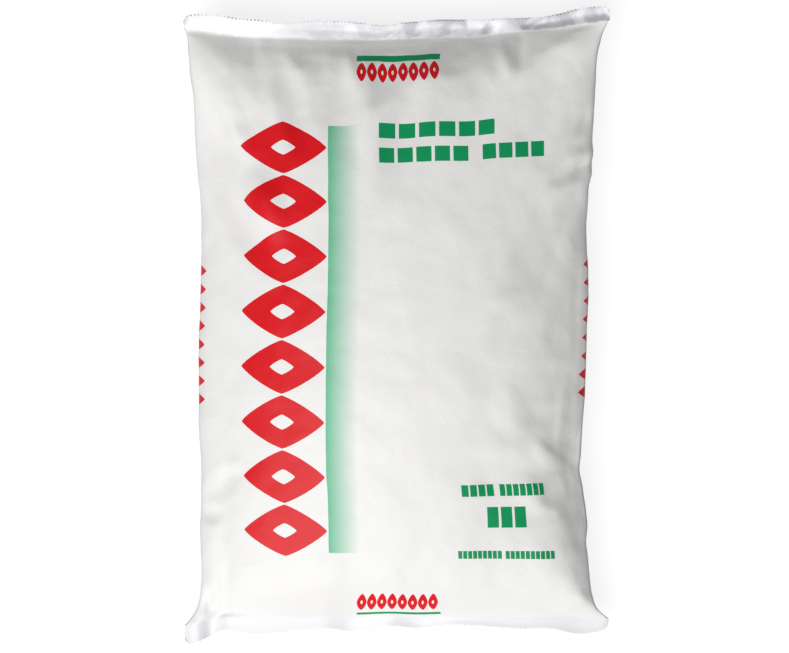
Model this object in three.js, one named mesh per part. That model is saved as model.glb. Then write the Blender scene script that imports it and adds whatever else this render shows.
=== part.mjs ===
// A pillow pack of fine sugar: a tube of glossy film, filled and sealed straight across both ends.
// It lies on its back with its printed face up. Its top is towards +Y, its width is along X, and the
// origin is at the middle of its footprint, on the surface that it rests on. Millimetres throughout.
import * as THREE from 'three';
import { mergeVertices } from 'three/addons/utils/BufferGeometryUtils.js';

// The film tube and its contents
const SEAL_WIDTH = 169; // across a seal, which holds the tube flat
const BODY_LENGTH = 230; // between the two seals' inner lines, on average
const WALL = 0.8; // the two films of a seal strip, welded together, with their stiffness
const TOP_HEIGHT = 46; // of the crown over the surface it rests on
const SIDE_HEIGHT = 20; // of the widest line of the body
const REST_SINK = 10; // how far the underside would belly out below the surface if it weren't pressed flat
const SHOULDER = 0.35; // the share of its thickness that the body gains right behind a seal
const SHOULDER_REACH = 11.5; // how far from a seal that shoulder goes
const FACE_ROUNDNESS = 0.75; // the printed face's cross-section: 0.5 is an ellipse, 1 a lens
const SIDE_FULLNESS = 2.3; // how square the underside's cross-section is: 2 is an ellipse

// The seals, as seen from above: how far across each station is, how far out from the middle of the
// pack its inner line and its cut edge lie, how high its inner line is and how far its edge rises
const TOP_SEAL = [
  { across: -84.5, inner: 118, edge: 123.4, height: 17, rise: 2.5 },
  { across: -78, inner: 117.5, edge: 123.9, height: 17.5, rise: 3 },
  { across: -70, inner: 116, edge: 123.4, height: 18.3, rise: 3 },
  { across: -62, inner: 115, edge: 122, height: 19, rise: 3 },
  { across: -54, inner: 114.5, edge: 121.4, height: 19.6, rise: 3.2 },
  { across: -44, inner: 114.2, edge: 119.8, height: 19.8, rise: 3 },
  { across: -36, inner: 114, edge: 120.9, height: 19.3, rise: 3 },
  { across: -26, inner: 113.8, edge: 121.1, height: 19.3, rise: 3 },
  { across: -14, inner: 113.6, edge: 120.3, height: 19.8, rise: 3 },
  { across: -5, inner: 113.8, edge: 119, height: 20.6, rise: 3 },
  { across: 2, inner: 114, edge: 120.2, height: 20.4, rise: 3 },
  { across: 10, inner: 114.3, edge: 120.8, height: 19.9, rise: 3 },
  { across: 17, inner: 114.7, edge: 121.5, height: 19.6, rise: 3 },
  { across: 29, inner: 114.7, edge: 121.5, height: 19.5, rise: 2.5 },
  { across: 34, inner: 115.2, edge: 121.5, height: 19.5, rise: 1.6 },
  { across: 40.5, inner: 116.3, edge: 121.9, height: 19.8, rise: 3 },
  { across: 49, inner: 117, edge: 122.2, height: 19.9, rise: 1.6 },
  { across: 57, inner: 117.6, edge: 122.7, height: 20, rise: 0.8 },
  { across: 65, inner: 118.3, edge: 124.1, height: 20, rise: 1 },
  { across: 72.5, inner: 119.3, edge: 126, height: 20, rise: 2 },
  { across: 80, inner: 120.6, edge: 126.7, height: 20, rise: 1.5 },
  { across: 84.5, inner: 121.3, edge: 126.8, height: 20, rise: 1 },
];
const BOTTOM_SEAL = [
  { across: -84.5, inner: 118.2, edge: 126.8, height: 9, rise: -2 },
  { across: -76, inner: 117, edge: 124.2, height: 12, rise: -2 },
  { across: -69, inner: 115.2, edge: 120.3, height: 15.5, rise: -1 },
  { across: -57, inner: 114.8, edge: 121.8, height: 18, rise: -1.5 },
  { across: -29, inner: 114.8, edge: 119.4, height: 19, rise: -1 },
  { across: -17, inner: 114.8, edge: 120.7, height: 18, rise: -1.5 },
  { across: -3, inner: 114, edge: 118.3, height: 20, rise: -0.5 },
  { across: 8, inner: 114.6, edge: 119.3, height: 19, rise: -1 },
  { across: 22, inner: 114.2, edge: 117.9, height: 19.5, rise: -0.5 },
  { across: 50, inner: 114.8, edge: 119.7, height: 18, rise: -1 },
  { across: 61, inner: 114.8, edge: 119.7, height: 17, rise: -1 },
  { across: 73, inner: 115.2, edge: 122.2, height: 15, rise: -1.5 },
  { across: 84.5, inner: 115.6, edge: 120.3, height: 14, rise: -1 },
];

// The body's two side outlines, as seen from above, from the bottom seal to the top one: how far along
// the pack each station is and how far it stands out from the pack's middle line
const LEFT_SIDE = [
  { along: -118.2, reach: 84.5 },
  { along: -116, reach: 82 },
  { along: -110, reach: 79.2 },
  { along: -104, reach: 78 },
  { along: -98, reach: 77.8 },
  { along: -83, reach: 78.2 },
  { along: -62, reach: 77.6 },
  { along: -45, reach: 78.2 },
  { along: -20, reach: 78.4 },
  { along: 3, reach: 78.2 },
  { along: 15, reach: 77.8 },
  { along: 32, reach: 77.4 },
  { along: 50, reach: 78 },
  { along: 62, reach: 79 },
  { along: 74, reach: 79.9 },
  { along: 86, reach: 80.5 },
  { along: 98, reach: 81.1 },
  { along: 104, reach: 81.8 },
  { along: 111, reach: 82.8 },
  { along: 118, reach: 84.5 },
];
const RIGHT_SIDE = [
  { along: -115.6, reach: 84.5 },
  { along: -112, reach: 80.2 },
  { along: -106, reach: 78.1 },
  { along: -98, reach: 77 },
  { along: -86, reach: 75.6 },
  { along: -79, reach: 76 },
  { along: -68, reach: 74.7 },
  { along: -62, reach: 73.8 },
  { along: -57, reach: 72.5 },
  { along: -50, reach: 73.1 },
  { along: -39, reach: 73.8 },
  { along: -21, reach: 74.8 },
  { along: -3, reach: 75.4 },
  { along: 15, reach: 76.1 },
  { along: 38, reach: 75.6 },
  { along: 50, reach: 76.2 },
  { along: 56, reach: 75.7 },
  { along: 62, reach: 77 },
  { along: 80, reach: 77.9 },
  { along: 92, reach: 78.6 },
  { along: 104, reach: 79.5 },
  { along: 110, reach: 80 },
  { along: 115.6, reach: 81.8 },
  { along: 121.3, reach: 84.5 },
];

// Pleats that fan out over the body from each seal, where the flat strip gathers the round body in
const PLEAT_DEPTH = 1.1; // from a pleat's mean surface to its crest
const PLEAT_PITCH = 27; // from crest to crest, across
const PLEAT_REACH = 16; // how far down the body they die away

const COLUMNS = 40; // facets across each face
const ROWS = 52; // facets along each face, its two seal strips included
const WELD = 1e-4; // corners closer than this are one corner

// A smooth curve through a list of stations: the value of `key` where the stations' `place` is `at`.
function follow(stations, place, key, at) {
  const last = stations.length - 1;
  const clamped = THREE.MathUtils.clamp(at, stations[0][place], stations[last][place]);
  let i = 0;
  while (i < last - 1 && stations[i + 1][place] < clamped) i += 1;
  const slope = (k) => {
    const before = stations[Math.max(k - 1, 0)];
    const after = stations[Math.min(k + 1, last)];
    return (after[key] - before[key]) / (after[place] - before[place]);
  };
  const span = stations[i + 1][place] - stations[i][place];
  const f = (clamped - stations[i][place]) / span;
  const near = stations[i][key];
  const far = stations[i + 1][key];
  return near * (2 * f ** 3 - 3 * f ** 2 + 1) + slope(i) * span * (f ** 3 - 2 * f ** 2 + f)
    + far * (3 * f ** 2 - 2 * f ** 3) + slope(i + 1) * span * (f ** 3 - f ** 2);
}

// A point in a seal strip: `across` is -1 to 1 from side to side, `out` 0 at the inner line and 1 at
// the cut edge, `end` +1 for the top seal and -1 for the bottom one, and `face` +1 or -1.
function sealPoint(across, out, end, face) {
  const seal = end > 0 ? TOP_SEAL : BOTTOM_SEAL;
  const x = across * SEAL_WIDTH / 2;
  const inner = follow(seal, 'across', 'inner', x);
  const edge = follow(seal, 'across', 'edge', x);
  const height = follow(seal, 'across', 'height', x) + follow(seal, 'across', 'rise', x) * out;
  return new THREE.Vector3(x, end * THREE.MathUtils.lerp(inner, edge, out), height + face * WALL / 2);
}

// A point on the body: `along` runs from -1 at the bottom seal's inner line to 1 at the top one's.
function bodyPoint(across, along, face) {
  const bottom = sealPoint(across, 0, -1, 0);
  const top = sealPoint(across, 0, 1, 0);
  const y = THREE.MathUtils.lerp(bottom.y, top.y, (along + 1) / 2);
  const side = across < 0 ? LEFT_SIDE : RIGHT_SIDE;
  const x = across * follow(side, 'along', 'reach', y);

  // From the seals' height at the ends to the side line's along the body
  const sealHeight = THREE.MathUtils.lerp(bottom.z, top.z, (along + 1) / 2);
  const fromSeal = (1 - Math.abs(along)) * BODY_LENGTH / 2;
  const full = SHOULDER * Math.tanh(fromSeal / SHOULDER_REACH) + (1 - SHOULDER) * (1 - along ** 2);
  const sideLine = THREE.MathUtils.lerp(sealHeight, SIDE_HEIGHT, full);
  const round = face > 0
    ? Math.max(0, 1 - across ** 2) ** FACE_ROUNDNESS
    : Math.sqrt(Math.max(0, 1 - Math.abs(across) ** SIDE_FULLNESS));
  const belly = face > 0 ? TOP_HEIGHT - SIDE_HEIGHT : SIDE_HEIGHT + REST_SINK;
  const swell = belly * full * round;

  const fade = Math.exp(-fromSeal / PLEAT_REACH) * full * round;
  const pleat = PLEAT_DEPTH * Math.cos((2 * Math.PI * x) / PLEAT_PITCH) * fade;
  const z = sideLine + face * (swell + pleat + WALL / 2);
  return new THREE.Vector3(x, y, Math.max(z, 0));
}

// The pack as a box of many facets whose every corner is moved to its place on the filled film.
function makePack() {
  const box = new THREE.BoxGeometry(2, 2, 2, COLUMNS, ROWS, 1);
  const corners = box.attributes.position;
  const point = new THREE.Vector3();
  const bodyEnd = 1 - 2 / ROWS; // where the rows of the body end and the seal strips' begin
  for (let i = 0; i < corners.count; i += 1) {
    point.fromBufferAttribute(corners, i);
    const face = Math.sign(point.z);
    const across = Math.sin((point.x * Math.PI) / 2);
    if (Math.abs(point.y) > bodyEnd + WELD) {
      point.copy(sealPoint(across, 1, Math.sign(point.y), face));
    } else {
      const row = THREE.MathUtils.clamp(point.y / bodyEnd, -1, 1);
      point.copy(bodyPoint(across, Math.sin((row * Math.PI) / 2), face));
    }
    corners.setXYZ(i, point.x, point.y, point.z);
  }
  box.deleteAttribute('normal');
  box.deleteAttribute('uv');
  const pack = mergeVertices(box, WELD);
  pack.computeVertexNormals();
  pack.computeBoundingBox();
  const middle = pack.boundingBox.getCenter(new THREE.Vector3());
  pack.translate(-middle.x, -middle.y, -pack.boundingBox.min.z);
  return pack;
}

const film = new THREE.MeshStandardMaterial({ color: 0xe4e4e2, roughness: 0.32, metalness: 0 });

const sugarBag = new THREE.Group();
const sugarPack = new THREE.Mesh(makePack(), film);
sugarPack.name = 'sugar_pack';
sugarBag.add(sugarPack);

export default sugarBag;
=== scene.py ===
"""A pillow pack of fine sugar in glossy printed film, lying on its back.

The film is a tube, welded flat across both ends. It is cut flat, closed, filled and let down on the floor by
a cloth simulation, which is drawn gently towards the pack's measured outline. Then the small hollows that
fingers and settling grains leave are pressed in, the seam along the back is raised, and the cut edges get
their teeth. The pack's top is towards +Y and its printed face is up.
"""

import math
from collections import namedtuple

import bmesh
import bpy
import numpy as np
from bpy.props import FloatProperty, FloatVectorProperty, IntProperty, PointerProperty
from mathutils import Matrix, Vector, noise


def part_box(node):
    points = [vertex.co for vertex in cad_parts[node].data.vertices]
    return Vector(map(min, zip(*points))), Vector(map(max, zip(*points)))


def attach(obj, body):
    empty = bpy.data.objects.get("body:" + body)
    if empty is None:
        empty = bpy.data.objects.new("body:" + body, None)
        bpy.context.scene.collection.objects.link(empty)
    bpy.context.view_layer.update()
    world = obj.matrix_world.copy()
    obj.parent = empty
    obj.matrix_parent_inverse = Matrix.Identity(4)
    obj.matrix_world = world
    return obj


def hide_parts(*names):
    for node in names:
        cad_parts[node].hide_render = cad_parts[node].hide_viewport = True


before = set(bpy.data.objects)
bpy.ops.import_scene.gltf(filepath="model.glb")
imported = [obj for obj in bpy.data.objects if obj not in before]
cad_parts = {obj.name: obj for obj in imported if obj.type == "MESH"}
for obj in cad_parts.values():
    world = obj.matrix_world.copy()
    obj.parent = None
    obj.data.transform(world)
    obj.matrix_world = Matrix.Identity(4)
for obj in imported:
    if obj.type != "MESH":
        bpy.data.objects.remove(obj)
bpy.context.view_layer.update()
PACK_LOW, PACK_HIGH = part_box("sugar_pack")

bl_info = {
    "name": "Sugar pillow pack",
    "version": (1, 0, 0),
    "blender": (4, 5, 0),
    "location": "View3D > Sidebar > Sugar pack",
    "description": "Makes a filled pillow pack of sugar with printed film and two end seals",
    "category": "Object",
}

MM = 0.001
NEAR = 0.01 * MM  # places closer than this count as one
STRIP_ROWS = 6  # rows of cells across a seal strip
SEAL_WIDTH = PACK_HIGH[0] - PACK_LOW[0]
TOP_HEIGHT = PACK_HIGH[2] - PACK_LOW[2]

# The two seals as they lie, in mm: how far across a station is, how far from the pack's middle the inner
# line and the cut edge are, how high the inner line is, how far the cut edge rises from it and how deeply
# the strip is dished between them
SealStation = namedtuple("SealStation", "across inner edge height rise dish")
TOP_SEAL = (
    SealStation(-84.5, 118, 123.4, 17, 2.5, 0.2),
    SealStation(-78, 117.5, 123.9, 17.5, 3, 0.6),
    SealStation(-70, 116, 123.4, 18.3, 3, 0.8),
    SealStation(-62, 115, 122, 19, 3, 0.3),
    SealStation(-54, 114.5, 121.4, 19.6, 3.2, 0.2),
    SealStation(-44, 114.2, 119.8, 19.8, 3, 0.3),
    SealStation(-36, 114, 120.9, 19.3, 3, 1.3),
    SealStation(-26, 113.8, 121.1, 19.3, 3, 1.9),
    SealStation(-14, 113.6, 120.3, 19.8, 3, 1.8),
    SealStation(-5, 113.8, 119, 20.6, 3, 1.2),
    SealStation(2, 114, 120.2, 20.4, 3, 1.6),
    SealStation(10, 114.3, 120.8, 19.9, 3, 2.2),
    SealStation(17, 114.7, 121.5, 19.6, 3, 2.8),
    SealStation(29, 114.7, 121.5, 19.5, 2.5, 3),
    SealStation(34, 115.2, 121.5, 19.5, 1.6, 3),
    SealStation(40.5, 116.3, 121.9, 19.8, 3, 0.4),
    SealStation(49, 117, 122.2, 19.9, 1.6, 2),
    SealStation(57, 117.6, 122.7, 20, 0.8, 2.4),
    SealStation(65, 118.3, 124.1, 20, 1, 2),
    SealStation(72.5, 119.3, 126, 20, 2, 2.6),
    SealStation(80, 120.6, 126.7, 20, 1.5, 2.4),
    SealStation(84.5, 121.3, 126.8, 20, 1, 1.2),
)
BOTTOM_SEAL = (
    SealStation(-84.5, 118.2, 126.8, 12, -2, 0.3),
    SealStation(-79, 117.6, 125.4, 14.2, -2, 0.6),
    SealStation(-73.5, 116.4, 122.9, 11.8, -2, 0.3),
    SealStation(-69, 115.2, 120.3, 15, -1, 0.3),
    SealStation(-57, 114.8, 121.8, 18, -1.5, 0.4),
    SealStation(-29, 114.8, 119.4, 19, -1, 0.2),
    SealStation(-17, 114.8, 120.7, 18, -1.5, 0.4),
    SealStation(-3, 114, 118.3, 20, -0.5, 0.2),
    SealStation(8, 114.6, 119.3, 19, -1, 0.4),
    SealStation(22, 114.2, 117.9, 19.5, -0.5, 0.2),
    SealStation(50, 114.8, 119.7, 18, -1, 0.4),
    SealStation(61, 114.8, 119.7, 17, -1, 0.3),
    SealStation(73, 115.2, 122.2, 15, -1.5, 0.5),
    SealStation(84.5, 115.6, 120.3, 14, -1, 0.3),
)
# The body's two sides seen from above, in mm: how far along a station is, and how far from the middle line
SideStation = namedtuple("SideStation", "along reach")
LEFT_SIDE = (
    SideStation(-118.2, 84.5), SideStation(-116, 82), SideStation(-110, 79.2), SideStation(-104, 78),
    SideStation(-98, 77.8), SideStation(-83, 78.2), SideStation(-62, 77.6), SideStation(-45, 78.2),
    SideStation(-20, 78.4), SideStation(3, 78.2), SideStation(15, 77.8), SideStation(32, 77.4),
    SideStation(50, 78), SideStation(62, 79), SideStation(74, 79.9), SideStation(86, 80.5),
    SideStation(98, 81.1), SideStation(104, 81.8), SideStation(111, 82.8), SideStation(118, 84.5),
)
RIGHT_SIDE = (
    SideStation(-115.6, 84.5), SideStation(-112, 80.2), SideStation(-106, 78.1), SideStation(-98, 77),
    SideStation(-86, 75.6), SideStation(-79, 76), SideStation(-68, 74.7), SideStation(-62, 73.8),
    SideStation(-57, 72.5), SideStation(-50, 73.1), SideStation(-39, 73.8), SideStation(-21, 74.8),
    SideStation(-3, 75.4), SideStation(15, 76.1), SideStation(38, 75.6), SideStation(50, 76.2),
    SideStation(56, 75.7), SideStation(62, 77), SideStation(80, 77.9), SideStation(92, 78.6),
    SideStation(104, 79.5), SideStation(110, 80), SideStation(115.6, 81.8), SideStation(121.3, 84.5),
)

# Hollows (depth above 0) and swells (depth below 0) of the printed face, in mm and degrees: the middle, half
# the width and length, how far the length is turned from across the pack, the depth, how creased it is, from
# 0 for a round hollow to 1 for a sharp fold along its length, and how much shorter its near end is than its
# far one, which makes that end steeper. A hollow turned by 90 has its near end towards the pack's bottom.
# The rows weren't set by hand: a program fitted them to the photograph's shading, and only the one at
# 63.2, -48.4 was changed after that.
Dent = namedtuple("Dent", "across along width length turn depth crease lean")
DENTS = (
    # The tucks under the top seal, with swells between them, from the left
    Dent(-76.8, 105.3, 12.1, 17.6, 115, -2, 0.15, -0.5),
    Dent(-73.2, 109.7, 5, 8.5, -13, 0.17, 0.59, 0.2),
    Dent(-71.9, 117, 14.6, 12.3, 69, 0.51, 0.04, 0.4),
    Dent(-64, 93.1, 10.9, 31.6, 102, -2.27, 0.15, 0.5),
    Dent(-62, 108.7, 3.6, 20.8, 73, 0.16, 0.18, 0.2),
    Dent(-60.5, 107.6, 4.6, 16.2, 151, 0.28, 0.28, -0.1),
    Dent(-57, 106.9, 2.5, 8.8, 89, 0.18, 0.8, 0.1),
    Dent(-55.7, 110.2, 3.7, 18.6, 89, 0.6, 0.76, 0.6),
    Dent(-48, 102.4, 9.5, 15.2, 72, 1.11, 0, -0.1),
    Dent(-42.4, 105.3, 3.9, 3.5, 49, -0.23, 0.4, 0.2),
    Dent(-42, 91.6, 7.8, 16.9, 99, 1.8, 0.11, -0.6),
    Dent(-38.8, 107.1, 6.4, 8.1, 55, 0.69, 0.11, 0.2),
    Dent(-34.3, 95.8, 8.6, 19.2, 83, 1.53, 0, -0.6),
    Dent(-29.4, 104.7, 7, 8.7, 87, 0.92, 0.36, -0.3),
    Dent(-21.8, 93.5, 12.2, 20.2, 90, 2.35, 0.15, -0.6),
    Dent(-19.8, 108.9, 10.1, 7.5, 87, 0.33, 0.15, 0.5),
    Dent(-17.6, 100, 4.5, 12.6, 104, -1.01, 0.55, -0.1),
    Dent(-15.5, 113.3, 5.4, 26.3, 44, -0.27, 0.26, -0.6),
    Dent(-12.8, 87.9, 8.6, 19.6, 97, -0.73, 0, -0.6),
    Dent(-10.5, 113.7, 7.1, 22.7, -4, -0.47, 0, -0.1),
    Dent(-4.8, 108.8, 19.9, 11.1, 91, 0.87, 0.15, -0.5),
    Dent(-4.2, 96.9, 8, 14.5, 58, 1.68, 0.24, 0),
    Dent(15.6, 107.7, 16.3, 7.6, 94, 0.9, 0.15, -0.6),
    Dent(18.9, 97.6, 5.2, 13.7, 0, -0.24, 0.2, 0.6),
    Dent(31.9, 91.3, 5.8, 14.6, 97, 0.24, 0.25, 0.1),
    Dent(38.2, 107.6, 10.6, 6.7, 4, 0.41, 0, 0.1),
    Dent(43, 102.4, 4.4, 13.1, 101, -1.04, 0.68, 0.5),
    Dent(47.7, 104.4, 3, 11.6, 92, 0.24, 0.8, 0.2),
    Dent(49.1, 107.4, 3.5, 14.1, 86, 0.77, 0.78, 0.4),
    Dent(53.1, 101.9, 7.6, 13.5, 33, -0.85, 0.29, -0.6),
    Dent(64.3, 116.4, 17.4, 6.9, 118, 1.06, 0.15, 0.1),
    Dent(66.7, 112.1, 16.5, 34, 82, -1.2, 0, 0.5),
    Dent(70, 88.4, 5.5, 17.8, 55, -0.69, 0, -0.6),
    Dent(71.8, 111.9, 7.8, 19.9, -5, -0.52, 0.26, -0.3),
    # The right side, from the top
    Dent(77.4, 82.9, 1.6, 9.5, 56, 0.15, 0.78, -0.1),
    Dent(75.2, 81.7, 4.2, 5.9, 52, 1.35, 0.7, -0.6),
    Dent(80, 69.1, 4.3, 19.9, 9, -0.24, 0, -0.6),
    Dent(73.2, 63.8, 2.5, 4.4, 45, 0.53, 0.8, -0.6),
    Dent(69.6, 61.5, 5.3, 16.5, 29, 1.83, 0.29, 0.2),
    Dent(67.6, 58.6, 10.8, 34, 30, -1.46, 0, 0.4),
    Dent(76.7, 52.6, 5.8, 11.7, 145, -0.58, 0.5, -0.6),
    Dent(59.3, 29, 16.2, 32.9, 57, 1.34, 0, 0.1),
    Dent(72.2, 18, 3.9, 34, 88, 0.38, 0.3, -0.6),
    Dent(41.4, 10.4, 4.7, 12.1, 31, -0.32, 0.27, 0.1),
    Dent(67.6, 5.3, 10.8, 25.7, 78, 0.87, 0.15, 0.1),
    Dent(47.3, -13.6, 4.1, 32.8, -4, -0.14, 0, -0.4),
    Dent(54, -15.9, 6.6, 23.9, -8, 0.26, 0, -0.3),
    Dent(49.1, -16.4, 10.9, 21.3, 89, -0.43, 0.14, 0.1),
    Dent(23.9, -21.6, 14.2, 12.2, 117, -0.56, 0.15, -0.6),
    Dent(66.6, -24.7, 11.5, 22.6, 39, 1.44, 0.15, 0.1),
    Dent(43.8, -31.2, 9.8, 12.3, 103, -0.73, 0.15, -0.2),
    Dent(61.3, -35.5, 7.2, 12, 3, 0.8, 0, -0.6),
    Dent(70.7, -40.5, 7.2, 25.1, 89, 1.26, 0.34, 0.3),
    Dent(66.1, -46.1, 10.7, 22.5, -18, 1.08, 0.15, 0.5),
    Dent(44.2, -47.6, 8.2, 22.8, -3, -0.52, 0.22, 0.2),
    Dent(58.7, -48.3, 7.1, 12.1, -37, -0.8, 0.35, 0.2),
    Dent(63.2, -48.4, 3.4, 13, -38, 0.42, 0.7, -0.2),
    Dent(69.1, -56.4, 15.4, 5.3, 5, 1.08, 0, -0.6),
    Dent(37.6, -60.7, 6.4, 10.6, 6, 0.74, 0.44, 0.1),
    Dent(67, -62.9, 5, 9.3, 63, 0.19, 0.47, 0),
    Dent(54.2, -65.7, 8.7, 15, 151, -0.87, 0, 0.1),
    Dent(61.2, -66.8, 6.3, 9.3, 81, 1.17, 0, 0.4),
    Dent(62.1, -72.7, 8.5, 14.7, -44, -0.44, 0.18, 0.4),
    Dent(73.2, -76.4, 11, 31.3, 95, 1.28, 0.15, -0.3),
    Dent(62.1, -90.1, 22, 20.4, 28, -2.89, 0.15, -0.3),
    Dent(70.8, -101.8, 7.8, 14.2, 108, -0.79, 0.26, -0.6),
    Dent(69.3, -106.4, 11.4, 17.8, 140, -1.43, 0, 0.5),
    Dent(74.7, -108.2, 4.4, 6.6, 135, -0.96, 0.68, -0.1),
    # The middle, from the top
    Dent(2.5, 78.4, 9.9, 34, 77, 2.17, 0.1, -0.1),
    # The left side, from the top
    Dent(-65, 79.8, 7.9, 30.5, 115, -1.95, 0.26, 0.4),
    Dent(-69.5, 74.5, 7.5, 22.7, -69, 1.77, 0, 0),
    Dent(-68.5, 58.4, 9.1, 30.2, 114, 1.87, 0.15, -0.6),
    Dent(-51.6, 48.6, 10.1, 17, 105, -2.4, 0.15, -0.2),
    Dent(-73.5, 32.4, 3.4, 4.5, 76, 0.27, 0, 0),
    Dent(-63.2, -54.2, 5.2, 4.5, -15, -0.57, 0.15, 0),
    Dent(-68.3, -61.7, 6.9, 11, 51, 1.14, 0.15, -0.3),
    Dent(-72.1, -73.8, 5.4, 5.1, -2, 1.19, 0.25, -0.6),
    Dent(-74.7, -110.6, 4.9, 10.1, 86, 2.24, 0.62, 0.4),
)

# Print that is made of simple shapes, in mm on the flat film
END_MARK = (-15.2, 18.4)  # the left and right ends of the small marks at the middle of both seals
BLOCK_GAP = 0.18  # between two green blocks, as a share of their pitch
# The green rows of print, as small blocks, in mm on the flat film: the row's left end and middle line, how
# tall it is, and the lengths of its groups of blocks with the number of blocks in each
PrintRow = namedtuple("PrintRow", "left middle tall groups")
PRINT_ROWS = (
    PrintRow(-6, 77.2, 6.0, ((0, 48, 6),)),
    PrintRow(-6, 67.4, 6.0, ((0, 37, 5), (41.5, 68.5, 4))),
    PrintRow(28.5, -63.8, 4.6, ((0, 14.3, 4), (16.2, 36, 7))),
    PrintRow(38.8, -74.5, 8.2, ((0, 17.4, 3),)),
    PrintRow(26.8, -89.4, 3.2, ((0, 18.6, 9), (19.8, 40.5, 10))),
)


def linear(hex_colour):
    """An sRGB hex colour as linear RGB with alpha 1."""
    channels = [int(hex_colour[i:i + 2], 16) / 255 for i in (1, 3, 5)]
    return [c / 12.92 if c <= 0.04045 else ((c + 0.055) / 1.055) ** 2.4 for c in channels] + [1.0]


class SugarPackSizes(bpy.types.PropertyGroup):
    """The film tube, its filling and how it is settled"""

    tube_width: FloatProperty(
        name="Tube width", description="Width of the film tube pressed flat", default=169.5 * MM,
        unit="LENGTH")
    body_length: FloatProperty(
        name="Body length", description="Film between the two seals, measured flat", default=239 * MM,
        unit="LENGTH")
    seal_strip: FloatProperty(
        name="Seal strip", description="From a seal's inner line to its cut edge", default=7.5 * MM,
        unit="LENGTH")
    weld: FloatProperty(
        name="Weld", description="Thickness of the two films welded together", default=0.3 * MM,
        unit="LENGTH")
    top_height: FloatProperty(
        name="Top height", description="Height of the face's middle above the floor", default=TOP_HEIGHT,
        unit="LENGTH")
    side_line: FloatProperty(
        name="Side line", description="Height of the body's widest line", default=20 * MM, unit="LENGTH")
    rest_sink: FloatProperty(
        name="Rest sink", description="How far the underside would belly out below the floor",
        default=10 * MM, unit="LENGTH")
    shoulder: FloatProperty(
        name="Shoulder", description="Share of the thickness that the body gains right behind a seal",
        default=0.35)
    shoulder_reach: FloatProperty(
        name="Shoulder reach", description="How far from a seal the shoulder goes", default=12 * MM,
        unit="LENGTH")
    face_roundness: FloatProperty(
        name="Face roundness", description="Printed face's cross-section: 0.5 is an ellipse, 1 a lens",
        default=0.75)
    side_fullness: FloatProperty(
        name="Side fullness", description="How square the underside's section is: 2 is an ellipse",
        default=2.3)
    cell: FloatProperty(
        name="Cell", description="Size of the film's mesh cells", default=2.3 * MM, unit="LENGTH")
    volume: FloatProperty(
        name="Contents", description="Volume in cubic metres that the filling's pressure aims at",
        default=0.0011, precision=5)
    grip: FloatProperty(
        name="Grip", description="How strongly the film is drawn to the measured outline", default=0.4)
    calm: FloatProperty(
        name="Calm", description="How much of the simulated wrinkles is smoothed out of the printed face",
        default=0.88)
    slack: FloatProperty(
        name="Slack", description="How much wider the film is than its filling needs", default=0.004)
    steps: IntProperty(
        name="Steps", description="Frames over which the pack closes, fills and settles", default=40)
    tooth: FloatProperty(
        name="Tooth", description="Depth of the teeth along the cut edges", default=0.6 * MM,
        unit="LENGTH")
    tooth_pitch: FloatProperty(
        name="Tooth pitch", description="From tooth to tooth", default=1.5 * MM, unit="LENGTH")
    lap: FloatProperty(
        name="Lap", description="Half the width of the seam along the back", default=5 * MM, unit="LENGTH")
    corner: FloatProperty(
        name="Corner", description="Radius of the seal strips' corners", default=2.4 * MM, unit="LENGTH")


class SugarPackColours(bpy.types.PropertyGroup):
    """The film's and the inks' colours, and the greys and darks painted on the seals and seam as shade"""

    film: FloatVectorProperty(
        name="Film", description="White film over the sugar", subtype="COLOR", size=4,
        default=linear("#EDECEA"))
    seal: FloatVectorProperty(
        name="Seal", description="Welded film with nothing behind it", subtype="COLOR", size=4,
        default=linear("#E9E9EC"))
    # Painted shade: grey laid in patches on the top seal, more towards the right, and along the back's seam
    shade_grey: FloatVectorProperty(
        name="Thin seal", description="Welded film where it is pulled thin and lets more light through",
        subtype="COLOR", size=4, default=linear("#B9BABF"))
    # Painted shadow: dark dots between the teeth along the top seal's cut edge
    tooth_shadow: FloatVectorProperty(
        name="Notch", description="Crushed film between the knife's teeth", subtype="COLOR", size=4,
        default=linear("#6C7079"))
    red: FloatVectorProperty(
        name="Red", description="Red ink", subtype="COLOR", size=4, default=linear("#D8161F"))
    green: FloatVectorProperty(
        name="Green", description="Green ink of the small print", subtype="COLOR", size=4,
        default=linear("#12935A"))
    stripe: FloatVectorProperty(
        name="Stripe", description="Green tint at the stripe's full end", subtype="COLOR", size=4,
        default=linear("#60BA90"))


def follow(stations, place, key, at):
    """A smooth curve through stations: the values of `key` where the stations' `place` is `at`."""
    places = np.array([getattr(s, place) for s in stations], float)
    values = np.array([getattr(s, key) for s in stations], float)
    at = np.clip(at, places[0], places[-1])
    i = np.clip(np.searchsorted(places, at) - 1, 0, len(places) - 2)
    before = np.maximum(np.arange(len(places)) - 1, 0)
    after = np.minimum(np.arange(len(places)) + 1, len(places) - 1)
    slope = (values[after] - values[before]) / (places[after] - places[before])
    span = places[i + 1] - places[i]
    f = (at - places[i]) / span
    return (values[i] * (2 * f**3 - 3 * f**2 + 1) + slope[i] * span * (f**3 - 2 * f**2 + f)
            + values[i + 1] * (3 * f**2 - 2 * f**3) + slope[i + 1] * span * (f**3 - f**2))


def seal_point(across, out, end, layer, sizes):
    """Where a point of a seal strip lies, in mm: `out` is 0 at the inner line and 1 at the cut edge."""
    stations = TOP_SEAL if end > 0 else BOTTOM_SEAL
    x = across * SEAL_WIDTH / MM / 2
    reach = follow(stations, "across", "inner", x) * (1 - out) + follow(stations, "across", "edge", x) * out
    rise, dish = (follow(stations, "across", key, x) for key in ("rise", "dish"))
    height = follow(stations, "across", "height", x) + rise * out - dish * np.sin(math.pi * out**1.5)
    return np.stack([x, end * reach, height + layer * sizes.weld / MM / 2], -1)


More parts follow.
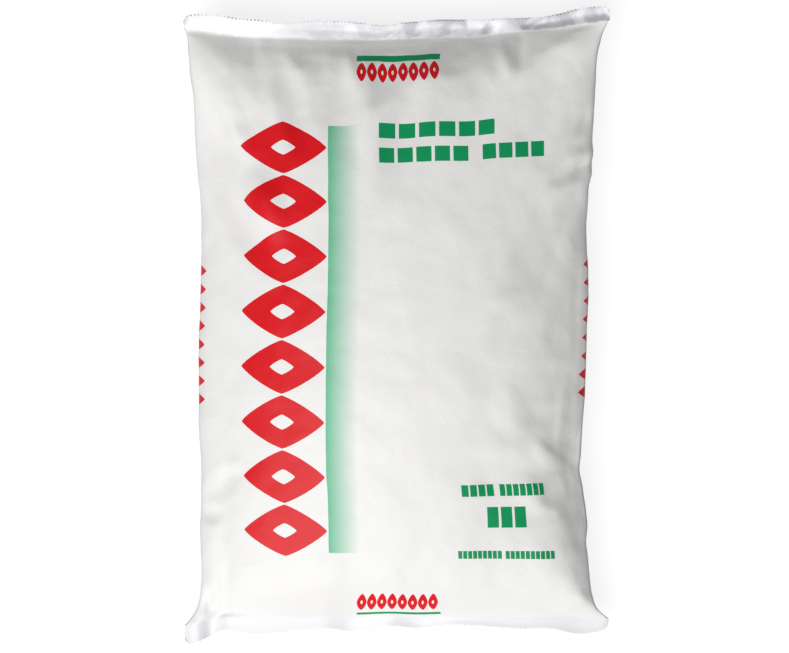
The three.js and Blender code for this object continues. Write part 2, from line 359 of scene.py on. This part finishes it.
def body_point(across, along, layer, sizes):
    """Where a point of the filled body should lie, in mm: across and along run from -1 to 1."""
    x = across * SEAL_WIDTH / MM / 2
    low_y, high_y = -follow(BOTTOM_SEAL, "across", "inner", x), follow(TOP_SEAL, "across", "inner", x)
    low_z, high_z = follow(BOTTOM_SEAL, "across", "height", x), follow(TOP_SEAL, "across", "height", x)
    f = (along + 1) / 2
    y = low_y + (high_y - low_y) * f
    seal_height = low_z + (high_z - low_z) * f
    reach = np.where(across < 0, follow(LEFT_SIDE, "along", "reach", y),
                     follow(RIGHT_SIDE, "along", "reach", y))
    from_seal = (1 - np.abs(along)) * sizes.body_length / 2
    shoulder = np.tanh(from_seal / sizes.shoulder_reach)
    full = sizes.shoulder * shoulder + (1 - sizes.shoulder) * (1 - along**2)
    if layer > 0:
        rounded = np.maximum(0, 1 - across**2)**sizes.face_roundness
    else:
        rounded = np.sqrt(np.maximum(0, 1 - np.abs(across)**sizes.side_fullness))
    side_line = sizes.side_line / MM
    belly = sizes.top_height / MM - side_line if layer > 0 else -side_line - sizes.rest_sink / MM
    z = seal_height + (side_line - seal_height) * full + belly * full * rounded
    return np.stack([across * reach, y, np.maximum(z, 0.3)], -1)


def even_steps(points):
    """How far along a row of points each one is, from 0 to 1 by distance, and the row's length."""
    steps = np.linalg.norm(np.diff(points, axis=0), axis=1)
    run = np.concatenate([[0], np.cumsum(steps)])
    return run / run[-1], run[-1]


def filled_place(flat, sizes):
    """Where each point of the flat film belongs on the filled pack, its seals exactly and its body about,
    and how wide the film is there, as a share of the tube's width: it is gathered in a little at its ends."""
    place = np.zeros_like(flat)
    fit = np.ones(len(flat))
    fine = np.sin(np.linspace(-math.pi / 2, math.pi / 2, 401))
    middle = np.zeros_like(fine)
    half_body = sizes.body_length / 2
    lengthwise = {layer: even_steps(body_point(middle, fine, layer, sizes))[0] for layer in (1, -1)}
    rows = np.round(flat[:, 1] / MM, 4)
    for row in np.unique(rows):
        along = row * MM
        points = np.flatnonzero(rows == row)
        across = flat[points, 0] / (sizes.tube_width / 2)
        past = (abs(along) - half_body) / sizes.seal_strip
        if past > -1e-4:
            place[points] = seal_point(across, max(past, 0), np.sign(along), flat[points, 2], sizes)
            continue
        for layer in (1, -1):
            on_layer = points[flat[points, 2] * layer >= 0]
            share = np.interp(along / (2 * half_body) + 0.5, lengthwise[layer], fine)
            level = np.full_like(fine, share)
            widthwise, girth = even_steps(body_point(fine, level, layer, sizes))
            spread = np.interp(flat[on_layer, 0] / sizes.tube_width + 0.5, widthwise, fine)
            place[on_layer] = body_point(spread, np.full_like(spread, share), layer, sizes)
            fit[on_layer] = girth * MM / sizes.tube_width
    return place * MM, fit


def cut_film(sizes):
    """The flat tube as a closed mesh of two sheets joined at their rim, and each point's flat place.

    A flat place is how far across and along the film the point is, and +1, 0 or -1 for the printed sheet,
    the rim and the back sheet.
    """
    wide, long = sizes.tube_width, sizes.body_length + 2 * sizes.seal_strip
    columns = 2 * round(wide / sizes.cell / 2)
    body_rows = 2 * round(sizes.body_length / sizes.cell / 2)
    rows = body_rows + 2 * STRIP_ROWS
    film = bmesh.new()
    for layer in (1.0, -1.0):
        sheet = bmesh.ops.create_grid(film, x_segments=columns, y_segments=rows, size=0.5)["verts"]
        for point in sheet:
            row = round((point.co.y + 0.5) * rows) - rows / 2
            past = abs(row) - body_rows / 2
            if past > 0:
                along = sizes.body_length / 2 + past / STRIP_ROWS * sizes.seal_strip
            else:
                along = abs(row) / body_rows * sizes.body_length
            point.co = (point.co.x * wide, math.copysign(along, row), layer)
        if layer < 0:
            bmesh.ops.reverse_faces(film, faces=list({f for p in sheet for f in p.link_faces}))
    for point in film.verts:
        if abs(point.co.x) > wide / 2 - NEAR or abs(point.co.y) > long / 2 - NEAR:
            point.co.z = 0
    bmesh.ops.remove_doubles(film, verts=film.verts, dist=NEAR)
    crease = film.edges.layers.float.new("crease_edge")
    for edge in film.edges:
        if all(point.co.z == 0 and abs(point.co.y) > sizes.body_length / 2 - NEAR for point in edge.verts):
            edge[crease] = 1.0
    film.verts.ensure_lookup_table()
    flat = np.array([point.co for point in film.verts])
    lay_out_print(film, sizes)
    return film, flat


def lay_out_print(film, sizes):
    """Give the film a UV map in metres of flat film: the front runs across the middle, and the back goes on
    past both sides until it meets itself along the back's middle line."""
    layer = film.loops.layers.uv.new("film")
    for face in film.faces:
        back = all(point.co.z <= 0 for point in face.verts) and any(point.co.z < 0 for point in face.verts)
        right = face.calc_center_median().x > 0
        for corner in face.loops:
            across, along = corner.vert.co.x, corner.vert.co.y
            if back:
                across = sizes.tube_width - across if right else -sizes.tube_width - across
            corner[layer].uv = (across, along)


def fill_pack(film, flat, place, fit, sizes):
    """Close, fill and settle the flat film by a cloth simulation, and return where its points end up."""
    half_wide, half_body = sizes.tube_width / 2, sizes.body_length / 2
    across = np.abs(flat[:, 0]) / half_wide
    along = np.minimum(1, np.abs(flat[:, 1]) / half_body)
    start = flat.copy()
    start[:, 0] *= fit * (1 + sizes.slack)
    gap = sizes.weld / 2 + 4 * MM * (1 - across**3) * (1 - along**6)
    start[:, 2] = sizes.side_line + flat[:, 2] * gap
    for point, spot in zip(film.verts, start):
        point.co = spot
    mesh = bpy.data.meshes.new("film_to_fill")
    film.to_mesh(mesh)
    pack = bpy.data.objects.new("film_to_fill", mesh)
    scene = bpy.context.scene
    scene.collection.objects.link(pack)
    pack.shape_key_add(name="Flat")
    closed = pack.shape_key_add(name="Closed", from_mix=False)
    closed.data.foreach_set("co", place.ravel())
    closed.value = 0
    closed.keyframe_insert("value", frame=1)
    closed.value = 1
    closed.keyframe_insert("value", frame=12)

    held = np.abs(flat[:, 1]) > half_body - NEAR
    hold = pack.vertex_groups.new(name="hold")
    hold.add(np.flatnonzero(held).tolist(), 1.0, "REPLACE")
    underside = ~held & (flat[:, 2] < 0) & (across < 0.7)
    hold.add(np.flatnonzero(~held & ~underside).tolist(), sizes.grip, "REPLACE")
    hold.add(np.flatnonzero(underside).tolist(), sizes.grip / 2, "REPLACE")

    ground_mesh = bpy.data.meshes.new("film_ground")
    ground = bmesh.new()
    bmesh.ops.create_grid(ground, x_segments=1, y_segments=1, size=0.4)
    ground.to_mesh(ground_mesh)
    ground.free()
    floor = bpy.data.objects.new("film_ground", ground_mesh)
    floor.location.z = -1.7 * MM
    scene.collection.objects.link(floor)
    floor.modifiers.new("Ground", "COLLISION")
    floor.collision.thickness_outer = 0.5 * MM
    floor.collision.cloth_friction = 5

    cloth = pack.modifiers.new("Fill", "CLOTH")
    settings = cloth.settings
    settings.quality = 6
    settings.mass = 0.00001
    settings.tension_stiffness = settings.compression_stiffness = 40
    settings.shear_stiffness = 24
    settings.bending_stiffness = 0.3
    settings.tension_damping = settings.compression_damping = settings.shear_damping = 5
    settings.bending_damping = 0.5
    settings.air_damping = 3
    settings.vertex_group_mass = "hold"
    settings.pin_stiffness = 1
    settings.use_pressure = True
    settings.uniform_pressure_force = 0
    settings.fluid_density = 0.9
    settings.use_pressure_volume = True
    settings.target_volume = sizes.volume
    settings.pressure_factor = 10
    cloth.collision_settings.use_collision = True
    cloth.collision_settings.distance_min = 0.6 * MM
    cloth.point_cache.frame_start = 1
    cloth.point_cache.frame_end = sizes.steps
    scene.frame_start = 1
    scene.frame_end = sizes.steps
    for step in range(1, sizes.steps + 1):
        scene.frame_set(step)
    settled = np.empty(len(flat) * 3)
    filled = pack.evaluated_get(bpy.context.evaluated_depsgraph_get())
    filled.data.vertices.foreach_get("co", settled)
    scene.frame_set(1)
    for temporary in (pack, floor):
        bpy.data.objects.remove(temporary)
    return settled.reshape(-1, 3)


def refine(film, places):
    """The film with its points at `places`, smoothed to cells of half the size, as a new bmesh."""
    for point, spot in zip(film.verts, places):
        point.co = spot
    mesh = bpy.data.meshes.new("film_coarse")
    film.to_mesh(mesh)
    film.free()
    rough = bpy.data.objects.new("film_coarse", mesh)
    bpy.context.scene.collection.objects.link(rough)
    smooth = rough.modifiers.new("Smooth", "SUBSURF")
    smooth.levels = smooth.render_levels = 1
    smooth.boundary_smooth = "PRESERVE_CORNERS"
    evaluated = rough.evaluated_get(bpy.context.evaluated_depsgraph_get())
    fine = bmesh.new()
    fine.from_mesh(evaluated.to_mesh())
    evaluated.to_mesh_clear()
    bpy.data.objects.remove(rough)
    return fine


def press_dents(film, sizes):
    """Press the listed hollows and swells into the printed face, let the sugar's lumps show all over, and
    raise the back's seam."""
    film.normal_update()
    places = np.array([point.co for point in film.verts]) / MM
    normals = np.array([point.normal for point in film.verts])
    from_seals = np.where(places[:, 1] > 0, follow(TOP_SEAL, "across", "inner", places[:, 0]),
                          follow(BOTTOM_SEAL, "across", "inner", places[:, 0])) - np.abs(places[:, 1])
    for size, depth in ((17, 0.20), (8, 0.10), (3.8, 0.03)):
        lumps = np.array([noise.noise(Vector(place) / size) for place in places])
        fade = np.clip(from_seals / 6, 0, 1)
        places += normals * (lumps * depth * 2 * fade)[:, None]
    film_only = np.clip(from_seals / 2.5, 0, 1)
    seam = np.clip((sizes.lap / MM - np.abs(places[:, 0])) / 1.2, 0, 1) * (normals[:, 2] < -0.1)
    places += normals * (seam * film_only * 0.4)[:, None]
    facing = np.clip(normals[:, 2] * 3, 0, 1)
    for dent in DENTS:
        turn = math.radians(dent.turn)
        x, y = places[:, 0] - dent.across, places[:, 1] - dent.along
        lengthwise = (x * math.cos(turn) + y * math.sin(turn)) / dent.length
        lengthwise = np.where(lengthwise < 0, lengthwise / (1 - dent.lean), lengthwise)
        widthwise = np.abs(y * math.cos(turn) - x * math.sin(turn)) / dent.width
        bowl = np.maximum(0, 1 - lengthwise**2 - widthwise**2)**2
        fold = np.maximum(0, 1 - lengthwise**2)**2 * np.maximum(0, 1 - widthwise)**1.5
        amount = dent.depth * (bowl * (1 - dent.crease) + fold * dent.crease) * facing * film_only
        places -= normals * amount[:, None]
    places[:, 2] = np.maximum(places[:, 2], 0.02)
    for point, place in zip(film.verts, places):
        point.co = place * MM


def cut_ends(film, sizes):
    """Round the seal strips' corners, and give both cut edges the fine teeth of the knife that parted this
    pack from the next. The strips' rims are sharp edges."""
    uv = film.loops.layers.uv.active
    half_body, end = sizes.body_length / 2, sizes.body_length / 2 + sizes.seal_strip - NEAR
    outward = {corner.vert: abs(corner[uv].uv.y) - half_body for face in film.faces for corner in face.loops}
    for point, past in outward.items():
        into = abs(point.co.x) - (SEAL_WIDTH / 2 - sizes.corner)
        if past > 0 and into > 0:
            lost = sizes.corner - math.sqrt(max(0, sizes.corner**2 - into**2))
            point.co.y -= math.copysign(lost * past / sizes.seal_strip, point.co.y)
    rim, sides = set(), set()
    for face in film.faces:
        for corner in face.loops:
            spots = corner[uv].uv, corner.link_loop_next[uv].uv
            if all(abs(spot.y) > end for spot in spots):
                rim.add(corner.edge)
            elif all(abs(spot.y) > half_body - NEAR and abs(abs(spot.x) - sizes.tube_width / 2) < NEAR
                     for spot in spots):
                sides.add(corner.edge)
    cut = bmesh.ops.subdivide_edges(film, edges=[e for e in film.edges if e in rim], cuts=2)
    points = {p for e in rim if e.is_valid for p in e.verts}
    points |= {g for g in cut["geom_inner"] if isinstance(g, bmesh.types.BMVert)}
    for side in (1, -1):
        edge = [p for p in points if p.co.y * side > 0]
        for point in edge:
            tooth = abs(point.co.x / sizes.tooth_pitch % 1 - 0.5) * 2
            point.co.y += side * sizes.tooth * (tooth - 0.5)
    for edge in sides | {e for p in points for e in p.link_edges if e.other_vert(p) in points}:
        if edge.is_valid:
            edge.smooth = False


def add(tree, kind, settings=None, give=0, **links):
    """Add a node with its settings, its inputs linked or set by name (spaces as _) or, as in_0, by number.
    What comes back is the output whose number or name `give` is."""
    node = tree.nodes.new(kind)
    for name, value in (settings or {}).items():
        setattr(node, name, value)
    for name, value in links.items():
        key = int(name[3:]) if name.startswith("in_") else name.replace("_", " ")
        if isinstance(value, bpy.types.NodeSocket):
            tree.links.new(value, node.inputs[key])
        else:
            node.inputs[key].default_value = value
    return node.outputs[give] if node.outputs else node


def within(tree, value, low, high):
    """1 where a value lies between low and high, else 0."""
    return add(tree, "ShaderNodeMath", {"operation": "COMPARE"}, in_0=value, in_1=(low + high) / 2,
               in_2=(high - low) / 2)


def overlap(tree, *masks):
    """Masks multiplied together: 1 where all of them are 1."""
    whole = masks[0]
    for mask in masks[1:]:
        whole = add(tree, "ShaderNodeMath", {"operation": "MULTIPLY"}, in_0=whole, in_1=mask)
    return whole


def union(tree, *masks):
    """The highest of some masks: 1 where any of them is 1."""
    whole = masks[0]
    for mask in masks[1:]:
        whole = add(tree, "ShaderNodeMath", {"operation": "MAXIMUM"}, in_0=whole, in_1=mask)
    return whole


def lozenges(tree, across, along, middle, half_wide, top, pitch, count, hole=0.22, plump=1.2, fill=0.485):
    """A column of plump lozenges that runs down from `top`, with a lozenge hole in each, 1 where there is
    ink. Half a lozenge's length is `fill` of the pitch. A plump of 1 has straight sides, and 2 round ones."""
    run = add(tree, "ShaderNodeMath", {"operation": "SUBTRACT"}, in_0=top, in_1=along)
    in_cell = add(tree, "ShaderNodeMath", {"operation": "FLOORED_MODULO"}, in_0=run, in_1=pitch)
    reach = []
    for value, centre, half in ((in_cell, pitch / 2, pitch * fill), (across, middle, half_wide)):
        off = add(tree, "ShaderNodeMath", {"operation": "SUBTRACT"}, in_0=value, in_1=centre)
        off = add(tree, "ShaderNodeMath", {"operation": "ABSOLUTE"}, in_0=off)
        share = add(tree, "ShaderNodeMath", {"operation": "DIVIDE"}, in_0=off, in_1=half)
        reach.append(add(tree, "ShaderNodeMath", {"operation": "POWER"}, in_0=share, in_1=plump))
    size = add(tree, "ShaderNodeMath", {"operation": "ADD"}, in_0=reach[0], in_1=reach[1])
    return overlap(tree, within(tree, size, hole, 1.0), within(tree, run, 0.0, pitch * count))


def print_row(tree, across, along, row):
    """One green row of small blocks, 1 where there is ink."""
    groups = []
    for start, stop, blocks in row.groups:
        left, right = (row.left + start) * MM, (row.left + stop) * MM
        pitch = (right - left) / blocks
        from_left = add(tree, "ShaderNodeMath", {"operation": "SUBTRACT"}, in_0=across, in_1=left)
        in_block = add(tree, "ShaderNodeMath", {"operation": "FLOORED_MODULO"}, in_0=from_left, in_1=pitch)
        groups.append(overlap(tree, within(tree, across, left, right - pitch * BLOCK_GAP),
                              within(tree, in_block, 0.0, pitch * (1 - BLOCK_GAP))))
    half = row.tall / 2
    tall = within(tree, along, (row.middle - half) * MM, (row.middle + half) * MM)
    return overlap(tree, union(tree, *groups), tall)


def red_print(tree, across, along):
    """All the red print: the column on the face, the small rows at the middle of both ends, and the back's
    print where it comes round the sides."""
    face = lozenges(tree, across, along, middle=-44.6 * MM, half_wide=17.6 * MM, top=81.2 * MM,
                    pitch=21.4 * MM, count=8)
    sides = [lozenges(tree, across, along, middle, half_wide=8 * MM, top=25 * MM, pitch=7 * MM, count=8)
             for middle in (-88.4 * MM, 89.6 * MM)]
    ends = [lozenges(tree, along, across, middle, half_wide=4.5 * MM, top=END_MARK[1] * MM, pitch=4.2 * MM,
                     count=8, hole=0.12, plump=1.5, fill=0.48)
            for middle in (102.1 * MM, -110.9 * MM)]
    return union(tree, face, *sides, *ends)


def green_print(tree, across, along):
    """All the green print but the stripe: the rows of blocks, and a line by each end's small row."""
    rows = [print_row(tree, across, along, row) for row in PRINT_ROWS]
    lines = [overlap(tree, within(tree, across, END_MARK[0] * MM, END_MARK[1] * MM),
                     within(tree, along, low * MM, high * MM))
             for low, high in ((107.4, 110.4), (-118.4, -117.0))]
    return union(tree, *rows, *lines)


def stripe_print(tree, across, along):
    """The green stripe beside the column, which fades out towards the right."""
    left, right = -26.4 * MM, -13.5 * MM
    fade = add(tree, "ShaderNodeMapRange", Value=across, From_Min=left, From_Max=right, To_Min=1.0,
               To_Max=0.0)
    return overlap(tree, fade, within(tree, across, left, right),
                   within(tree, along, -88.1 * MM, 79.5 * MM))


def seal_tones(tree, place, across, along, sizes, colours):
    """The welded strips, as a list of masks and colours, and the mask of all welded film.

    Along the top strip, grey patches that grow towards the right are painted shade, white spots on the inner
    line are painted glints, and dark dots between the knife's teeth at the cut edge are painted shadow.
    """
    out = add(tree, "ShaderNodeMath", {"operation": "ABSOLUTE"}, in_0=along)
    out = add(tree, "ShaderNodeMath", {"operation": "SUBTRACT"}, in_0=out, in_1=sizes.body_length / 2)
    welded = add(tree, "ShaderNodeMapRange", Value=out, From_Min=0.0, From_Max=0.6 * MM)
    at_top = add(tree, "ShaderNodeMath", {"operation": "GREATER_THAN"}, in_0=along, in_1=0.0)

    patches = add(tree, "ShaderNodeTexNoise", Vector=place, Scale=1 / (9 * MM), Detail=3.0, Distortion=0.5)
    patches = add(tree, "ShaderNodeMapRange", Value=patches, From_Min=0.42, From_Max=0.58, To_Min=0.15,
                  To_Max=1.0)
    rightwards = add(tree, "ShaderNodeMapRange", Value=across, From_Min=-60 * MM, From_Max=20 * MM,
                     To_Min=0.1, To_Max=1.0)
    # Painted shade: grey in patches along the top strip, more of it towards the right
    painted_shade = overlap(tree, rightwards, patches, at_top, welded)

    # Painted glints: white spots along the top strip's inner line
    glint_noise = add(tree, "ShaderNodeTexNoise", Vector=place, Scale=1 / (2.2 * MM), Detail=2.0)
    glint_noise = add(tree, "ShaderNodeMapRange", Value=glint_noise, From_Min=0.4, From_Max=0.8)
    painted_glints = overlap(tree, at_top, within(tree, out, -0.3 * MM, 0.8 * MM), glint_noise)

    # Painted shadow: dark dots between the knife's teeth along the top cut edge
    quarter = sizes.tooth_pitch / 4
    in_tooth = add(tree, "ShaderNodeMath", {"operation": "FLOORED_MODULO"}, in_0=across,
                   in_1=sizes.tooth_pitch)
    at_edge = add(tree, "ShaderNodeMath", {"operation": "GREATER_THAN"}, in_0=out,
                  in_1=sizes.seal_strip - 0.6 * MM)
    tooth_shadow = overlap(tree, within(tree, in_tooth, quarter, 3 * quarter), at_edge, at_top, patches)
    return [(welded, colours.seal), (painted_shade, colours.shade_grey), (painted_glints, linear("#FFFFFF")),
            (tooth_shadow, colours.tooth_shadow)], welded


def back_seam_shade(tree, across, sizes):
    """The lap seam, where the tube was closed along the back's middle: a faint grey band of painted shade,
    darker at its edges.
    """
    off = add(tree, "ShaderNodeMath", {"operation": "ABSOLUTE"}, in_0=across)
    off = add(tree, "ShaderNodeMath", {"operation": "SUBTRACT"}, in_0=sizes.tube_width, in_1=off)
    lap = overlap(tree, within(tree, off, 0.0, sizes.lap), 0.25)
    edge = overlap(tree, within(tree, off, sizes.lap - 0.5 * MM, sizes.lap), 0.5)
    return union(tree, lap, edge)


def film_material(sizes, colours):
    """Printed polyethylene film: blown white film with a soft gloss, printed in red and green.

    The eye gets a broad sheen, the faint grain of the sugar pressed against the film, and fine crinkles.
    """
    material = bpy.data.materials.new("printed polyethylene film")
    material.use_nodes = True
    tree = material.node_tree
    tree.nodes.clear()
    place = add(tree, "ShaderNodeUVMap", {"uv_map": "film"})
    across, along = (add(tree, "ShaderNodeSeparateXYZ", give=axis, Vector=place) for axis in ("X", "Y"))

    grain_size = 1.1 * MM  # sugar grains are 0.5 mm: drawn twice as coarse, so that they show
    grain = add(tree, "ShaderNodeTexNoise", Vector=place, Scale=1 / grain_size, Detail=2.0, Roughness=0.6)
    tone = add(tree, "ShaderNodeMapRange", Value=grain, From_Min=0.3, From_Max=0.7, To_Min=0.965,
               To_Max=1.0)
    shade = add(tree, "ShaderNodeMix", {"data_type": "RGBA", "blend_type": "MULTIPLY"}, give=2, in_0=1.0,
                in_6=tuple(colours.film), in_7=tone)
    tones, welded = seal_tones(tree, place, across, along, sizes, colours)
    # Over the film go the seam's painted shade, the seals' own colour with their painted shade, glints and
    # shadow, and the print
    for mask, ink in ((back_seam_shade(tree, across, sizes), colours.shade_grey), *tones,
                      (stripe_print(tree, across, along), colours.stripe),
                      (red_print(tree, across, along), colours.red),
                      (green_print(tree, across, along), colours.green)):
        shade = add(tree, "ShaderNodeMix", {"data_type": "RGBA"}, give=2, in_0=mask, in_6=shade,
                    in_7=tuple(ink))

    rough = add(tree, "ShaderNodeMapRange", Value=welded, To_Min=0.4, To_Max=0.22)
    crinkle = add(tree, "ShaderNodeTexNoise", Vector=place, Scale=1 / (7 * MM), Detail=4.0, Roughness=0.55,
                  Distortion=0.8)
    fine = add(tree, "ShaderNodeMath", {"operation": "MULTIPLY"}, in_0=grain, in_1=0.04)
    relief = add(tree, "ShaderNodeMath", {"operation": "MULTIPLY_ADD"}, in_0=crinkle, in_1=0.5, in_2=fine)
    bump = add(tree, "ShaderNodeBump", Strength=0.85, Distance=0.35 * MM, Height=relief)
    surface = add(tree, "ShaderNodeBsdfPrincipled", Base_Color=shade, Roughness=rough, IOR=1.5,
                  Specular_IOR_Level=0.2, Normal=bump)
    add(tree, "ShaderNodeOutputMaterial", Surface=surface)
    return material


class SUGAR_OT_film_pack(bpy.types.Operator):
    """Make the filled and printed film pack with its two seals"""

    bl_idname = "sugar.film_pack"
    bl_label = "Film pack"

    def execute(self, context):
        sizes, colours = context.scene.sugar_sizes, context.scene.sugar_colours
        film, flat = cut_film(sizes)
        place, fit = filled_place(flat, sizes)
        settled = fill_pack(film, flat, place, fit, sizes)
        if not np.isfinite(settled).all():
            raise RuntimeError("the film didn't settle")
        towards_face = np.clip(place[:, 2] / sizes.side_line * 1.6 - 0.2, 0, 1)
        calm = (sizes.calm * towards_face)[:, None]
        settled = settled * (1 - calm) + place * calm
        fine = refine(film, settled)
        press_dents(fine, sizes)
        cut_ends(fine, sizes)
        fine.normal_update()
        for face in fine.faces:
            face.smooth = True
        mesh = bpy.data.meshes.new("film_pack")
        fine.to_mesh(mesh)
        fine.free()
        mesh.materials.append(film_material(sizes, colours))
        pack = bpy.data.objects.new("film_pack", mesh)
        context.scene.collection.objects.link(pack)
        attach(pack, "root")
        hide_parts("sugar_pack")
        return {"FINISHED"}


class SUGAR_OT_stage(bpy.types.Operator):
    """Set the pale floor, the soft lights and the camera straight above the pack"""

    bl_idname = "sugar.stage"
    bl_label = "Floor, lights and camera"

    def execute(self, context):
        scene = context.scene
        scene.view_settings.view_transform = "Standard"
        ground = bmesh.new()
        bmesh.ops.create_grid(ground, x_segments=1, y_segments=1, size=3)
        mesh = bpy.data.meshes.new("pale_floor")
        ground.to_mesh(mesh)
        ground.free()
        material = bpy.data.materials.new("white studio paper")
        material.use_nodes = True
        surface = material.node_tree.nodes["Principled BSDF"]
        surface.inputs["Base Color"].default_value = linear("#7A7A7A")
        surface.inputs["Roughness"].default_value = 0.9
        surface.inputs["Emission Color"].default_value = (1, 1, 1, 1)
        surface.inputs["Emission Strength"].default_value = 0.84
        mesh.materials.append(material)
        floor = bpy.data.objects.new("pale_floor", mesh)
        scene.collection.objects.link(floor)
        floor.visible_diffuse = False  # the light it would throw up is held off, as by black cards

        world = bpy.data.worlds.new("studio")
        world.use_nodes = True
        world.node_tree.nodes["Background"].inputs["Color"].default_value = (1, 1, 1, 1)
        world.node_tree.nodes["Background"].inputs["Strength"].default_value = 0.12
        scene.world = world

        # One big soft light, 31 degrees off straight above, towards the pack's lower left
        data = bpy.data.lights.new("softbox", "SUN")
        data.energy = 3.31
        data.angle = math.radians(50)
        light = bpy.data.objects.new("softbox", data)
        light.rotation_euler = Vector((-0.276, -0.456, 0.7425)).to_track_quat("Z", "Y").to_euler()
        scene.collection.objects.link(light)

        frame_width = 0.3123  # across the picture, at the height of the seals
        seal_height = 0.0205
        distance = 1.15
        data = bpy.data.cameras.new("camera")
        data.sensor_width = 36
        data.lens = data.sensor_width * distance / frame_width
        data.clip_end = 20
        camera = bpy.data.objects.new("camera", data)
        camera.location = (-0.0008, 0.0002, seal_height + distance)
        scene.collection.objects.link(camera)
        scene.camera = camera
        return {"FINISHED"}


class SUGAR_PT_panel(bpy.types.Panel):
    """The pack's sizes, colours and pieces"""

    bl_idname = "SUGAR_PT_panel"
    bl_label = "Sugar pack"
    bl_space_type = "VIEW_3D"
    bl_region_type = "UI"
    bl_category = "Sugar pack"

    def draw(self, context):
        layout = self.layout
        for group in (context.scene.sugar_sizes, context.scene.sugar_colours):
            box = layout.box()
            for name in group.bl_rna.properties.keys():
                if name not in ("rna_type", "name"):
                    box.prop(group, name)
        layout.operator(SUGAR_OT_film_pack.bl_idname)
        layout.operator(SUGAR_OT_stage.bl_idname)


CLASSES = (SugarPackSizes, SugarPackColours, SUGAR_OT_film_pack, SUGAR_OT_stage, SUGAR_PT_panel)


def register():
    """Add the pack's settings, operators and panel to Blender."""
    for cls in CLASSES:
        bpy.utils.register_class(cls)
    bpy.types.Scene.sugar_sizes = PointerProperty(type=SugarPackSizes)
    bpy.types.Scene.sugar_colours = PointerProperty(type=SugarPackColours)


def unregister():
    """Take them out again."""
    del bpy.types.Scene.sugar_colours
    del bpy.types.Scene.sugar_sizes
    for cls in reversed(CLASSES):
        bpy.utils.unregister_class(cls)


def main():
    """Make the stage and the pack."""
    register()
    bpy.ops.sugar.stage()
    bpy.ops.sugar.film_pack()


if __name__ == "__main__":
    main()
